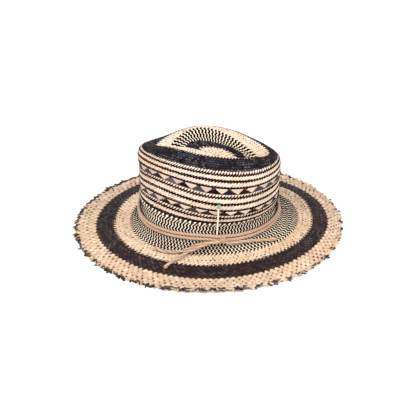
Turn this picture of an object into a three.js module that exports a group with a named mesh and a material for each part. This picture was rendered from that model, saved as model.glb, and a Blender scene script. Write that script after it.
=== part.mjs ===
// A hand-woven straw hat: a tall crown with a teardrop dent, a wide brim with a frayed edge,
// and a twine tied twice round the foot of the crown with a match tucked under it.
// Millimetres. The hat's front is -X, its left side is -Y and it stands on z = 0.

import * as THREE from "three";
import { mergeVertices } from "three/addons/utils/BufferGeometryUtils.js";

// Straw
const STRAW_WALL = 2;
const RESTING_FLAT = 0.8;
const ANGLE_STEPS = 72;
const RIM_STEPS_PER_ANGLE = 4;
const STRAW_END_SHORTEST = 2.5;
const STRAW_END_LONGEST = 6;
const STRAW_END_THICKNESS = 1.2;
const GOLDEN_FRACTION = 0.618034;

// Twine
const CORD_DIAMETER = 4.8;
const CORD_RADIUS = CORD_DIAMETER / 2;
const CORD_SIDES = 8;
const CORD_STEP = 9.4;
const SEAT_GAP = 0.6;
const CORD_LIFT = CORD_RADIUS + SEAT_GAP;
const TAIL_LIFT = CORD_LIFT + 0.2;
const KNOT = { angle: 285.3, row: 65.6, lift: 5.2, halfLength: 5.6, halfHeight: 6.6, halfDepth: 4.2 };

// Match
const STICK_SIDE = 2.2;
const MATCH_FOOT = { angle: 282.3, row: 64.1, lift: 2.1 };
const MATCH_TIP = { angle: 283, row: 47.2, lift: 3.7 };
const HEAD_RADIUS = 2.1;
const HEAD_LENGTH = 6.6;
const MATCH_GAP = 0.3;

// The form of the straw, one row for each section, counted in woven rows from the crown's centre.
// front, waist and back are distances along X: at the front, at the widest place and at the back.
// wide is a half width, z a height, each at the front quarter, the side and the back quarter.
// shift moves a section towards the right side, and tilt lifts that side by as much as it lowers the other.
const COLUMNS = [
  "row", "front", "waist", "back", "wideFront", "wideSide", "wideBack",
  "zFront", "zFrontSide", "zSide", "zBackSide", "zBack", "shift", "tilt",
];
const SECTIONS = {
  crownCentre: [0, 10, 10, 10, 0, 0, 0, 113, 113, 113, 113, 113, -2, 0],
  centreDisc: [6, -12, 2, 42, 7, 10, 8.5, 118, 120, 120, 116, 110, -2, 4],
  dentZigzagInner: [10, -32, 1, 56, 11, 17, 14.5, 122, 126, 124, 115, 107.5, -2, 4.5],
  dentZigzagOuter: [17, -53, 3, 76, 16, 32, 22, 127, 138, 140, 118, 105, -2, 1.5],
  crest: [23, -73, 1, 88, 23, 48, 32, 130, 137.3, 138, 126.3, 118, 0, -2.5],
  shoulder: [31, -95.5, 1, 102, 39, 65, 50, 127.5, 124.5, 118.5, 110.3, 110.5, 0, -6],
  upperWall: [42, -98, -1, 103, 45, 76, 60, 95, 101, 94, 87, 84, 0, 0],
  lowerWall: [53, -99.5, -6, 102.3, 52, 82, 65, 67, 70, 64, 58, 56, 0, 0],
  twineTop: [63, -99.8, -6, 99.8, 66, 85, 60, 40, 41, 37, 34, 35, 0, 0],
  crownFoot: [67, -101, -4, 101.8, 68, 88, 62, 30, 30, 27, 23, 24, 0, 0],
  brimZigzagEdge: [76, -117, 9, 131, 74, 95, 68, 9, 10, 9, 11, 10, 0, 0],
  blackRingInner: [84, -141, 15, 152, 92, 116, 81, 6, 8.5, 6, 11, 10, 0, 0],
  blackRingOuter: [93, -167, 19, 174, 106, 141, 91, 3, 4, 4, 6, 7, 0, 0],
  brimEdge: [101, -196, 18, 192, 124, 166, 110, 3, -0.5, 5, -0.5, 2, 0, 0],
};
const STATIONS = [
  3, 6.5, 11.5, 17, 20, 23, 26, 31, 36.5, 42, 47.5, 53, 58, 61, 63, 65, 67, 69, 71.5, 74, 77, 80, 84, 93,
  97, 100,
];
const EDGE_ROW = 101;
const CENTRING = { x: 2.2, y: 0.2 };

// Routes of the loose tails: where they lie on the straw, and how high their middle is above it.
const TAIL_FRONT = [
  { angle: 281.6, row: 66.9, lift: 8.7 },
  { angle: 277.5, row: 66.9, lift: 8.4 },
  { angle: 272, row: 67.8, lift: 8.3 },
  { angle: 267.5, row: 69, lift: 8.2 },
  { angle: 262.6, row: 70.6, lift: 8.1 },
  { angle: 259.4, row: 71.8, lift: 8 },
  { angle: 256, row: 73.6, lift: 7.5 },
  { angle: 252.8, row: 77.6, lift: 5.4 },
  { angle: 250.4, row: 80.6, lift: 3.9 },
  { angle: 248.2, row: 82.7, lift: TAIL_LIFT },
  { angle: 245.8, row: 86.3, lift: TAIL_LIFT },
  { angle: 244.7, row: 90.3, lift: TAIL_LIFT },
];
const TAIL_LOOP = [
  { angle: 281.2, row: 67.5, lift: TAIL_LIFT },
  { angle: 276, row: 67.5, lift: TAIL_LIFT },
  { angle: 270, row: 68, lift: TAIL_LIFT },
  { angle: 264.5, row: 69.2, lift: TAIL_LIFT },
  { angle: 259.7, row: 70.8, lift: TAIL_LIFT },
  { angle: 256.7, row: 72, lift: TAIL_LIFT },
  { angle: 250.5, row: 74.8, lift: TAIL_LIFT },
  { angle: 243.6, row: 77.3, lift: TAIL_LIFT },
  { angle: 237.2, row: 78.1, lift: TAIL_LIFT },
  { angle: 233.3, row: 77.8, lift: TAIL_LIFT },
  { angle: 230.6, row: 76.8, lift: TAIL_LIFT },
];
const TAIL_BACK = [
  { angle: 290, row: 68.8, lift: TAIL_LIFT },
  { angle: 294.5, row: 68.85, lift: TAIL_LIFT },
  { angle: 299.9, row: 69.3, lift: TAIL_LIFT },
  { angle: 305.4, row: 70.2, lift: TAIL_LIFT },
  { angle: 311.4, row: 72, lift: TAIL_LIFT },
  { angle: 315.5, row: 73.5, lift: TAIL_LIFT },
  { angle: 319.3, row: 74.9, lift: TAIL_LIFT },
];

// The twine's two turns: the row where each starts behind the knot and where it ends before it, how
// far it bulges over the foot of the match, and how many degrees it stops short of the knot's middle.
const TURNS = {
  cord_turn_upper: { row: 64.6, endRow: 63.3, bulge: 3, clear: 3.5 },
  cord_turn_lower: { row: 66.75, endRow: 65.45, bulge: 1.2, clear: 3.7 },
};
const BULGE_WIDTH = 7;

const COLOURS = {
  straw: { color: 0xdcc3a4, roughness: 0.75, metalness: 0 },
  twine: { color: 0xb98d63, roughness: 0.8, metalness: 0 },
  wood: { color: 0xe8dcc0, roughness: 0.7, metalness: 0 },
  head: { color: 0x5da283, roughness: 0.6, metalness: 0 },
};

// The straw's form

const sections = Object.values(SECTIONS);
const slopes = sectionSlopes();

// Slopes of every column at every section, so that the form runs smoothly through them all.
function sectionSlopes() {
  const last = sections.length - 1;
  const rise = (index, column) => {
    const run = sections[index + 1][0] - sections[index][0];
    return (sections[index + 1][column] - sections[index][column]) / run;
  };
  return sections.map((section, index) =>
    section.map((value, column) => {
      if (index === 0) return rise(0, column);
      if (index === last) return rise(last - 1, column);
      const before = section[0] - sections[index - 1][0];
      const after = sections[index + 1][0] - section[0];
      return (rise(index - 1, column) * after + rise(index, column) * before) / (before + after);
    }),
  );
}

// The named sizes of the straw's section at any row, by cubic interpolation.
function sectionAt(row) {
  let index = sections.findIndex((section) => section[0] > row) - 1;
  if (index < 0) index = sections.length - 2;
  const start = sections[index];
  const end = sections[index + 1];
  const run = end[0] - start[0];
  const t = (row - start[0]) / run;
  const startWeight = 2 * t ** 3 - 3 * t ** 2 + 1;
  const startSlopeWeight = (t ** 3 - 2 * t ** 2 + t) * run;
  const endSlopeWeight = (t ** 3 - t ** 2) * run;
  const sizes = {};
  COLUMNS.forEach((name, column) => {
    sizes[name] =
      startWeight * start[column] +
      startSlopeWeight * slopes[index][column] +
      (1 - startWeight) * end[column] +
      endSlopeWeight * slopes[index + 1][column];
  });
  return sizes;
}

// A point on the straw's outer face. angle is in degrees: 0 at the back, 90 at the right, 180 at the front.
function formPoint(angle, row) {
  const size = sectionAt(row);
  const turn = THREE.MathUtils.degToRad(angle);
  const root = Math.SQRT1_2;

  const middle = (size.back + size.front) / 2;
  const egg = (middle - size.waist) / 2;
  const x = middle - egg + ((size.back - size.front) / 2) * Math.cos(turn) + egg * Math.cos(2 * turn);

  const quarter = (size.wideBack + size.wideFront) / (2 * root);
  const wide = (quarter + size.wideSide) / 2;
  const y =
    size.shift +
    wide * Math.sin(turn) +
    ((size.wideBack - size.wideFront) / 2) * Math.sin(2 * turn) +
    (quarter - wide) * Math.sin(3 * turn);

  const ends = (size.zBack + size.zFront) / 2;
  const endSlope = (size.zBack - size.zFront) / 2;
  const quarters = (size.zBackSide + size.zFrontSide) / 2;
  const quarterSlope = (size.zBackSide - size.zFrontSide) / (2 * root);
  const fourth = ((ends + size.zSide) / 2 - quarters) / 2;
  const z =
    (ends + size.zSide) / 2 -
    fourth +
    ((endSlope + quarterSlope) / 2) * Math.cos(turn) +
    ((ends - size.zSide) / 2) * Math.cos(2 * turn) +
    ((endSlope - quarterSlope) / 2) * Math.cos(3 * turn) +
    fourth * Math.cos(4 * turn) +
    size.tilt * Math.sin(turn);

  const height = Math.max(z, RESTING_FLAT) - RESTING_FLAT + STRAW_WALL;
  return new THREE.Vector3(x + CENTRING.x, y + CENTRING.y, height);
}

function formNormal(angle, row) {
  const step = 0.01;
  const outward = formPoint(angle, row + step).sub(formPoint(angle, row - step));
  const round = formPoint(angle + step, row).sub(formPoint(angle - step, row));
  return outward.cross(round).normalize();
}

function liftedPoint({ angle, row, lift }) {
  return formPoint(angle, row).addScaledVector(formNormal(angle, row), lift);
}

// The point on the straw's inner face below a point of the outer face, at z = 0 where the brim rests.
function innerPoint(angle, row) {
  const outer = formPoint(angle, row);
  const inner = outer.clone().addScaledVector(formNormal(angle, row), -STRAW_WALL);
  const rests = outer.z <= STRAW_WALL;
  return rests ? new THREE.Vector3(outer.x, outer.y, 0) : inner.setZ(Math.max(inner.z, 0));
}

// The hat's body

function hatBody() {
  const positions = [];
  const faces = [];
  const addPoint = (point) => positions.push(point.x, point.y, point.z) / 3 - 1;
  const rimSteps = ANGLE_STEPS * RIM_STEPS_PER_ANGLE;
  const angleOf = (step) => (step * 360) / ANGLE_STEPS;

  const skin = (pointAt) =>
    STATIONS.map((row) =>
      Array.from({ length: ANGLE_STEPS }, (unused, step) => addPoint(pointAt(angleOf(step), row))),
    );
  const outer = skin(formPoint);
  const inner = skin(innerPoint);
  const outerCentre = addPoint(formPoint(0, 0));
  const innerCentre = addPoint(formPoint(0, 0).setZ(formPoint(0, 0).z - STRAW_WALL));

  // Straw ends stick out of the rim at every second step, each with a length of its own.
  const strawEnd = (step) => {
    const angle = (step * 360) / rimSteps;
    const top = formPoint(angle, EDGE_ROW);
    const bottom = innerPoint(angle, EDGE_ROW);
    if (step % 2 === 1) {
      const outward = top.clone().sub(formPoint(angle, EDGE_ROW - 1)).setZ(0).normalize();
      const spread = STRAW_END_LONGEST - STRAW_END_SHORTEST;
      const length = STRAW_END_SHORTEST + spread * ((step * GOLDEN_FRACTION) % 1);
      bottom.addScaledVector(outward, length);
      top.copy(bottom).setZ(bottom.z + STRAW_END_THICKNESS);
    }
    return { top: addPoint(top), bottom: addPoint(bottom) };
  };
  const rim = Array.from({ length: rimSteps }, (unused, step) => strawEnd(step));

  for (let step = 0; step < ANGLE_STEPS; step += 1) {
    const next = (step + 1) % ANGLE_STEPS;
    faces.push(outerCentre, outer[0][step], outer[0][next]);
    faces.push(innerCentre, inner[0][next], inner[0][step]);
    for (let station = 0; station < STATIONS.length - 1; station += 1) {
      const [a, b] = [outer[station], outer[station + 1]];
      faces.push(a[step], b[step], b[next], a[step], b[next], a[next]);
      const [c, d] = [inner[station], inner[station + 1]];
      faces.push(c[step], d[next], d[step], c[step], c[next], d[next]);
    }

    const first = step * RIM_STEPS_PER_ANGLE;
    const rimCount = RIM_STEPS_PER_ANGLE + 1;
    const rimPoints = Array.from({ length: rimCount }, (unused, k) => rim[(first + k) % rimSteps]);
    const middle = RIM_STEPS_PER_ANGLE / 2;
    const lastStation = STATIONS.length - 1;
    const [outerLast, innerLast] = [outer[lastStation], inner[lastStation]];
    for (let k = 0; k < RIM_STEPS_PER_ANGLE; k += 1) {
      const [left, right] = [rimPoints[k], rimPoints[k + 1]];
      const corner = k < middle ? step : next;
      faces.push(outerLast[corner], left.top, right.top);
      faces.push(innerLast[corner], right.bottom, left.bottom);
      faces.push(left.top, left.bottom, right.bottom, left.top, right.bottom, right.top);
    }
    faces.push(outerLast[step], rimPoints[middle].top, outerLast[next]);
    faces.push(innerLast[step], innerLast[next], rimPoints[middle].bottom);
  }

  const geometry = new THREE.BufferGeometry();
  geometry.setAttribute("position", new THREE.Float32BufferAttribute(positions, 3));
  geometry.setIndex(faces);
  return geometry;
}

// Twine

function cordAlong(points) {
  const curve = new THREE.CatmullRomCurve3(points, false, "centripetal");
  const section = new THREE.Shape();
  for (let side = 0; side < CORD_SIDES; side += 1) {
    const turn = (side * 2 * Math.PI) / CORD_SIDES;
    const corner = [CORD_RADIUS * Math.cos(turn), CORD_RADIUS * Math.sin(turn)];
    if (side === 0) section.moveTo(...corner);
    else section.lineTo(...corner);
  }
  const steps = Math.round(curve.getLength() / CORD_STEP);
  return new THREE.ExtrudeGeometry(section, { steps, extrudePath: curve, bevelEnabled: false });
}

// One turn of twine, from the knot round the crown and back to the knot.
function cordTurn({ row, endRow, bulge, clear }) {
  const points = [];
  const from = KNOT.angle + clear;
  const to = KNOT.angle + 360 - clear;
  const count = ANGLE_STEPS;
  for (let step = 0; step <= count; step += 1) {
    const share = step / count;
    const angle = from + (to - from) * share;
    const away = (angle - 360 - MATCH_FOOT.angle) / BULGE_WIDTH;
    const lift = CORD_LIFT + bulge * Math.exp(-away * away);
    points.push(liftedPoint({ angle: angle % 360, row: row + (endRow - row) * share, lift }));
  }
  return cordAlong(points);
}

function cordKnot() {
  const knot = new THREE.SphereGeometry(1, 14, 9);
  knot.scale(KNOT.halfLength, KNOT.halfDepth, KNOT.halfHeight);
  return knot;
}

// Pieces

const hat = new THREE.Group();

function addPiece(name, geometry, look) {
  geometry.deleteAttribute("normal");
  geometry.deleteAttribute("uv");
  const mesh = new THREE.Mesh(mergeVertices(geometry, 1e-3), new THREE.MeshStandardMaterial(look));
  mesh.name = name;
  hat.add(mesh);
  return mesh;
}

// Turns a mesh so that its X runs round the crown, its Y into the straw and its Z up the wall.
function setAgainstWall(mesh, place) {
  const { angle, row } = place;
  const intoStraw = formNormal(angle, row).negate();
  const round = formPoint(angle + 1, row).sub(formPoint(angle - 1, row)).normalize();
  const upWall = new THREE.Vector3().crossVectors(round, intoStraw).normalize();
  mesh.quaternion.setFromRotationMatrix(new THREE.Matrix4().makeBasis(round, intoStraw, upWall));
  mesh.position.copy(liftedPoint(place));
}

addPiece("hat_body", hatBody(), COLOURS.straw);
for (const [name, turn] of Object.entries(TURNS)) {
  addPiece(name, cordTurn(turn), COLOURS.twine);
}
setAgainstWall(addPiece("cord_knot", cordKnot(), COLOURS.twine), KNOT);
addPiece("cord_tail_front", cordAlong(TAIL_FRONT.map(liftedPoint)), COLOURS.twine);
addPiece("cord_tail_loop", cordAlong(TAIL_LOOP.map(liftedPoint)), COLOURS.twine);
addPiece("cord_tail_back", cordAlong(TAIL_BACK.map(liftedPoint)), COLOURS.twine);

// The match leans on the crown's wall, with its foot behind the upper turn of twine.
const foot = liftedPoint(MATCH_FOOT);
const tip = liftedPoint(MATCH_TIP);
const alongMatch = tip.clone().sub(foot).normalize();
const matchTurn = new THREE.Quaternion().setFromUnitVectors(new THREE.Vector3(0, 0, 1), alongMatch);
const stickLength = foot.distanceTo(tip);

const stickShape = new THREE.BoxGeometry(STICK_SIDE, STICK_SIDE, stickLength);
const stick = addPiece("match_stick", stickShape, COLOURS.wood);
stick.quaternion.copy(matchTurn);
stick.position.copy(foot).addScaledVector(alongMatch, stickLength / 2);

const headShape = new THREE.SphereGeometry(HEAD_RADIUS, 10, 7);
headShape.rotateX(Math.PI / 2);
headShape.scale(1, 1, HEAD_LENGTH / (2 * HEAD_RADIUS));
const head = addPiece("match_head", headShape, COLOURS.head);
head.quaternion.copy(matchTurn);
head.position.copy(tip).addScaledVector(alongMatch, HEAD_LENGTH / 2 + MATCH_GAP);

export default hat;
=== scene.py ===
"""A hand-woven straw hat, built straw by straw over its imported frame, with its twine and match."""

import logging
import math
from dataclasses import astuple, dataclass, field
from enum import Enum
from typing import Callable, Sequence, Union

import bmesh
import bpy
import numpy as np
from mathutils import Matrix, Vector

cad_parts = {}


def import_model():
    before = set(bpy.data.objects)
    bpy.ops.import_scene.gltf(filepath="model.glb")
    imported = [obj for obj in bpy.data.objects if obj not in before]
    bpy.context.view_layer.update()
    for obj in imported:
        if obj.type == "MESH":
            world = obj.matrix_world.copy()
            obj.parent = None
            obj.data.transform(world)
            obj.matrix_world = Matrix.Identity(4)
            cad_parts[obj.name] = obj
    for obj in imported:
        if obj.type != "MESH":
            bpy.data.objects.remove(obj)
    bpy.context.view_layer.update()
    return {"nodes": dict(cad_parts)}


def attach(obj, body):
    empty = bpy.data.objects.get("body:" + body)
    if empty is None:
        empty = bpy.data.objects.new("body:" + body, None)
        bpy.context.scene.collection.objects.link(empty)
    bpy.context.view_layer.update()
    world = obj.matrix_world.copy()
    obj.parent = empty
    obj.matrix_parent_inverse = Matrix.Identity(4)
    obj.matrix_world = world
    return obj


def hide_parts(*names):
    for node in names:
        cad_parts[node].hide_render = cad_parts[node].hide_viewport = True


log = logging.getLogger("hat")

MM = 0.001
TURN = 2 * math.pi
ROOT_HALF = math.sqrt(0.5)
TINY = 1e-6

Places = Union[np.ndarray, float]


# The straw's form


@dataclass(frozen=True)
class Section:
    """The straw's outline at one woven row, in millimetres.

    Rows are counted outwards from the crown's centre. front, waist and back are distances along X,
    wide_ a half width and z_ a height at a quarter of the way round, shift moves the outline
    towards the wearer's right, and tilt lifts that side.
    """

    row: float
    front: float
    waist: float
    back: float
    wide_front: float
    wide_side: float
    wide_back: float
    z_front: float
    z_front_side: float
    z_side: float
    z_back_side: float
    z_back: float
    shift: float
    tilt: float


# The sizes follow the photograph: its outlines fitted, rounded and then changed in places
SECTIONS: dict[str, Section] = {
    "crown_centre": Section(0, 10, 10, 10, 0, 0, 0, 113, 113, 113, 113, 113, -2, 0),
    "centre_disc": Section(6, -12, 2, 42, 7, 10, 8.5, 118, 120, 120, 116, 110, -2, 4),
    "dent_zigzag_inner": Section(10, -32, 1, 56, 11, 17, 14.5, 122, 126, 124, 115, 107.5, -2, 4.5),
    "dent_zigzag_outer": Section(17, -53, 3, 76, 16, 32, 22, 127, 138, 140, 118, 105, -2, 1.5),
    "crest": Section(23, -73, 1, 88, 23, 48, 32, 130, 137.3, 138, 126.3, 118, 0, -2.5),
    "shoulder": Section(31, -95.5, 1, 102, 39, 65, 50, 127.5, 124.5, 118.5, 110.3, 110.5, 0, -6),
    "upper_wall": Section(42, -98, -1, 103, 45, 76, 60, 95, 101, 94, 87, 84, 0, 0),
    "lower_wall": Section(53, -99.5, -6, 102.3, 52, 82, 65, 67, 70, 64, 58, 56, 0, 0),
    "twine_top": Section(63, -99.8, -6, 99.8, 66, 85, 60, 40, 41, 37, 34, 35, 0, 0),
    "crown_foot": Section(67, -101, -4, 101.8, 68, 88, 62, 30, 30, 27, 23, 24, 0, 0),
    "brim_zigzag_edge": Section(76, -117, 9, 131, 74, 95, 68, 9, 10, 9, 11, 10, 0, 0),
    "black_ring_inner": Section(84, -141, 15, 152, 92, 116, 81, 6, 8.5, 6, 11, 10, 0, 0),
    "black_ring_outer": Section(93, -167, 19, 174, 106, 141, 91, 3, 4, 4, 6, 7, 0, 0),
    "brim_edge": Section(101, -196, 18, 192, 124, 166, 110, 3, -0.5, 5, -0.5, 2, 0, 0),
}


@dataclass
class StrawForm:
    """The straw's outer face: where it is, and which way it faces, at any place on the hat.

    A place is a woven row and how far round the hat it lies: either an angle in degrees, 0 at the
    back and 180 at the front, or a share of that row's own length, from 0 to 1.
    """

    wall: float = 2.0
    resting_flat: float = 0.8
    centring: tuple[float, float] = (2.2, 0.2)
    last_row: float = 102.0
    steps_per_row: int = 4
    steps_round: int = 1440
    points: np.ndarray = field(init=False)
    normals: np.ndarray = field(init=False)
    lengths: np.ndarray = field(init=False)

    def __post_init__(self) -> None:
        """Fills the tables of positions and normals, evenly spaced along every row."""
        sizes = np.array([astuple(section) for section in SECTIONS.values()], dtype=float)
        self._sizes = sizes
        rows = sizes[:, 0]
        runs = np.diff(rows)[:, None]
        rises = np.diff(sizes, axis=0) / runs
        self._slopes = np.vstack(
            [rises[:1], (rises[:-1] * runs[1:] + rises[1:] * runs[:-1]) / (runs[1:] + runs[:-1]), rises[-1:]]
        )
        all_rows = np.arange(0, self.last_row + 1e-6, 1 / self.steps_per_row)
        turns = np.linspace(0, TURN, self.steps_round * 2 + 1)
        shares = np.linspace(0, 1, self.steps_round + 1)
        ring_points = self.face(turns[None, :], all_rows[:, None])
        steps = np.linalg.norm(np.diff(ring_points, axis=1), axis=2)
        self.lengths = steps.sum(axis=1)
        self.points = np.empty((len(all_rows), len(shares), 3))
        for index, row_steps in enumerate(steps):
            run = np.concatenate([[0], np.cumsum(row_steps)])
            even_turns = np.interp(shares, run / max(run[-1], 1e-9), turns)
            self.points[index] = self.face(even_turns, all_rows[index])
        outward = np.gradient(self.points, axis=0)
        ring = np.concatenate([self.points[:, -2:-1], self.points, self.points[:, 1:2]], axis=1)
        normals = np.cross(outward, ring[:, 2:] - ring[:, :-2])
        size = np.linalg.norm(normals, axis=2, keepdims=True)
        self.normals = normals / np.maximum(size, 1e-9)
        self.normals[:2] = self.normals[2]

    def _sizes_at(self, rows: np.ndarray) -> np.ndarray:
        """The section's sizes at any rows, by cubic interpolation.

        Args:
            rows: woven rows, of any shape.

        Returns:
            The sizes, with one more axis at the end.
        """
        known = self._sizes[:, 0]
        index = np.clip(np.searchsorted(known, rows, side="right") - 1, 0, len(known) - 2)
        run = (known[index + 1] - known[index])[..., None]
        share = (rows - known[index])[..., None] / run
        start = 2 * share**3 - 3 * share**2 + 1
        start_slope = (share**3 - 2 * share**2 + share) * run
        end_slope = (share**3 - share**2) * run
        return (
            start * self._sizes[index]
            + start_slope * self._slopes[index]
            + (1 - start) * self._sizes[index + 1]
            + end_slope * self._slopes[index + 1]
        )

    def face(self, turns: np.ndarray, rows: np.ndarray) -> np.ndarray:
        """Points on the outer face.

        Args:
            turns: angles in radians, 0 at the back.
            rows: woven rows, which broadcast with the angles.

        Returns:
            Positions in millimetres, with one more axis at the end.
        """
        turns, rows = np.broadcast_arrays(np.asarray(turns, float), np.asarray(rows, float))
        columns = np.moveaxis(self._sizes_at(rows), -1, 0)
        _, front, waist, back, wide_front, wide_side, wide_back = columns[:7]
        z_front, z_front_side, z_side, z_back_side, z_back, shift, tilt = columns[7:]

        egg = ((back + front) / 2 - waist) / 2
        x = (back + front) / 2 - egg + (back - front) / 2 * np.cos(turns) + egg * np.cos(2 * turns)

        quarter = (wide_back + wide_front) / (2 * ROOT_HALF)
        wide = (quarter + wide_side) / 2
        y = shift + wide * np.sin(turns) + (wide_back - wide_front) / 2 * np.sin(2 * turns)
        y = y + (quarter - wide) * np.sin(3 * turns)

        ends = (z_back + z_front) / 2
        end_slope = (z_back - z_front) / 2
        quarters = (z_back_side + z_front_side) / 2
        quarter_slope = (z_back_side - z_front_side) / (2 * ROOT_HALF)
        fourth = ((ends + z_side) / 2 - quarters) / 2
        z = (ends + z_side) / 2 - fourth + tilt * np.sin(turns)
        z = z + (end_slope + quarter_slope) / 2 * np.cos(turns) + (ends - z_side) / 2 * np.cos(2 * turns)
        z = z + (end_slope - quarter_slope) / 2 * np.cos(3 * turns) + fourth * np.cos(4 * turns)
        z = np.maximum(z, self.resting_flat) - self.resting_flat + self.wall
        return np.stack([x + self.centring[0], y + self.centring[1], z], axis=-1)

    def _looked_up(self, table: np.ndarray, shares: Places, rows: Places) -> np.ndarray:
        """Values of a table between its own places.

        Args:
            table: one value for each row step and each share step.
            shares: shares of the way round, of which whole turns are dropped.
            rows: woven rows.

        Returns:
            The values.
        """
        round_place = (np.asarray(shares) % 1.0) * self.steps_round
        row_place = np.clip(np.asarray(rows) * self.steps_per_row, 0, len(table) - 1.001)
        column = round_place.astype(int)
        line = row_place.astype(int)
        across = (round_place - column)[..., None]
        down = (row_place - line)[..., None]
        upper = table[line, column] * (1 - across) + table[line, column + 1] * across
        lower = table[line + 1, column] * (1 - across) + table[line + 1, column + 1] * across
        return upper * (1 - down) + lower * down

    def lifted(self, shares: Places, rows: Places, lifts: Places) -> np.ndarray:
        """Points at some heights in millimetres above the outer face, or below it if negative."""
        risen = self.facing(shares, rows) * np.asarray(lifts)[..., None]
        return self._looked_up(self.points, shares, rows) + risen

    def facing(self, shares: Places, rows: Places) -> np.ndarray:
        """The outward directions at the places given."""
        normals = self._looked_up(self.normals, shares, rows)
        return normals / np.linalg.norm(normals, axis=-1, keepdims=True)

    def share_at(self, angle: float, row: float) -> float:
        """How far round its row a place lies.

        Args:
            angle: the place's angle in degrees.
            row: its woven row.

        Returns:
            The share of the row's length from the back to that angle.
        """
        turns = np.linspace(0, TURN, self.steps_round * 2 + 1)
        run = run_along(self.face(turns, row))
        return float(np.interp(math.radians(angle % 360), turns, run / run[-1]))

    def spot(self, angle: float, row: float, lift: float) -> np.ndarray:
        """One point at an angle in degrees, a row and a height above the face, in millimetres."""
        return self.lifted(self.share_at(angle, row), row, lift)

    def row_length(self, row: float) -> float:
        """The length of a row all the way round, in millimetres."""
        places = np.arange(len(self.lengths)) / self.steps_per_row
        return float(np.interp(row, places, self.lengths))


# Finishes

Number = Union["Value", float]


class Value:
    """A number that varies over a surface: an output of one of a material's nodes."""

    def __init__(self, paint: "Paint", socket: bpy.types.NodeSocket) -> None:
        """Wraps a socket of the material that paint builds."""
        self.paint = paint
        self.socket = socket

    def _sum(self, operation: str, first: Number, second: Number) -> "Value":
        """The result of a Math node on two numbers."""
        return self.paint.node("ShaderNodeMath", {"operation": operation}, {0: first, 1: second})

    def __add__(self, other: Number) -> "Value":
        """self + other"""
        return self._sum("ADD", self, other)

    def __radd__(self, other: Number) -> "Value":
        """other + self"""
        return self._sum("ADD", other, self)

    def __sub__(self, other: Number) -> "Value":
        """self - other"""
        return self._sum("SUBTRACT", self, other)

    def __mul__(self, other: Number) -> "Value":
        """self * other"""
        return self._sum("MULTIPLY", self, other)

    def held(self, low: float, high: float) -> "Value":
        """self, but no lower than low and no higher than high."""
        return self._sum("MINIMUM", self._sum("MAXIMUM", self, low), high)


Colour = tuple[float, float, float]


class Paint:
    """A material as it is built, node by node."""

    def __init__(self, name: str) -> None:
        """Starts a material with one plain shader."""
        self.material = bpy.data.materials.new(name)
        self.material.use_nodes = True
        self.tree = self.material.node_tree
        self.shader = self.tree.nodes["Principled BSDF"]

    def node(
        self, kind: str, settings: dict[str, object], inputs: dict, output: Union[int, str] = 0
    ) -> Value:
        """Adds a node.

        Args:
            kind: the node's type.
            settings: its own settings, which are set first.
            inputs: the numbers, colours or values that its sockets get, by name or number.
            output: which of its outputs to return.

        Returns:
            That output, as a value.
        """
        node = self.tree.nodes.new(kind)
        for setting, choice in settings.items():
            setattr(node, setting, choice)
        for socket, given in inputs.items():
            self.feed(node.inputs[socket], given)
        return Value(self, node.outputs[output])

    def feed(self, socket: bpy.types.NodeSocket, given: object) -> None:
        """Gives a socket a number, a colour or a value from another node."""
        if isinstance(given, Value):
            self.tree.links.new(given.socket, socket)
        elif isinstance(given, tuple) and len(given) == 3 and socket.type == "RGBA":
            socket.default_value = (*given, 1.0)
        else:
            socket.default_value = given

    def place(self, stretch: Colour = (1.0, 1.0, 1.0)) -> Value:
        """Object coordinates, stretched along each axis."""
        spot = self.node("ShaderNodeTexCoord", {}, {}, "Object")
        return self.node("ShaderNodeMapping", {}, {"Vector": spot, "Scale": stretch})

    def run(self, uv_map: str, stretch: Colour) -> Value:
        """The piece's own map along and round it, stretched."""
        spot = self.node("ShaderNodeUVMap", {"uv_map": uv_map}, {})
        return self.node("ShaderNodeMapping", {}, {"Vector": spot, "Scale": stretch})

    def noise(self, where: Value, scale: float, detail: float = 3.0, rough: float = 0.5) -> Value:
        """Soft noise from 0 to 1."""
        given = {"Vector": where, "Scale": scale, "Detail": detail, "Roughness": rough}
        return self.node("ShaderNodeTexNoise", {}, given)

    def attribute(self, name: str) -> Value:
        """A number that the mesh holds for each of its points."""
        return self.node("ShaderNodeAttribute", {"attribute_name": name}, {}, "Fac")

    def blended(self, share: Number, first: Union[Colour, Value], second: Union[Colour, Value]) -> Value:
        """A colour between two others.

        Args:
            share: 0 for the first colour and 1 for the second.
            first: a colour.
            second: another colour.

        Returns:
            The colour between them.
        """
        mix = self.tree.nodes.new("ShaderNodeMix")
        mix.data_type = "RGBA"
        sockets = {socket.identifier: socket for socket in (*mix.inputs, *mix.outputs)}
        for name, given in (("Factor_Float", share), ("A_Color", first), ("B_Color", second)):
            self.feed(sockets[name], given)
        return Value(self, sockets["Result_Color"])

    def scaled(self, colour: Value, amount: Value) -> Value:
        """A colour made darker or brighter by an amount."""
        given = {"Vector": colour, "Scale": amount}
        return self.node("ShaderNodeVectorMath", {"operation": "SCALE"}, given)

    def bump(self, height: Value, depth_mm: float) -> Value:
        """A normal bent by a height, which is depth_mm deep from 0 to 1."""
        given = {"Height": height, "Strength": 1.0, "Distance": depth_mm * MM}
        return self.node("ShaderNodeBump", {}, given)

    def finish(
        self, colour: Value, roughness: Number, normal: Value, sheen: float = 0.0
    ) -> bpy.types.Material:
        """Connects the shader and returns the material."""
        self.feed(self.shader.inputs["Base Color"], colour)
        self.feed(self.shader.inputs["Roughness"], roughness)
        self.feed(self.shader.inputs["Normal"], normal)
        self.shader.inputs["Sheen Weight"].default_value = sheen
        return self.material


TONE = "tone"
CREST = "crest"
RUN_MAP = "run"


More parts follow.
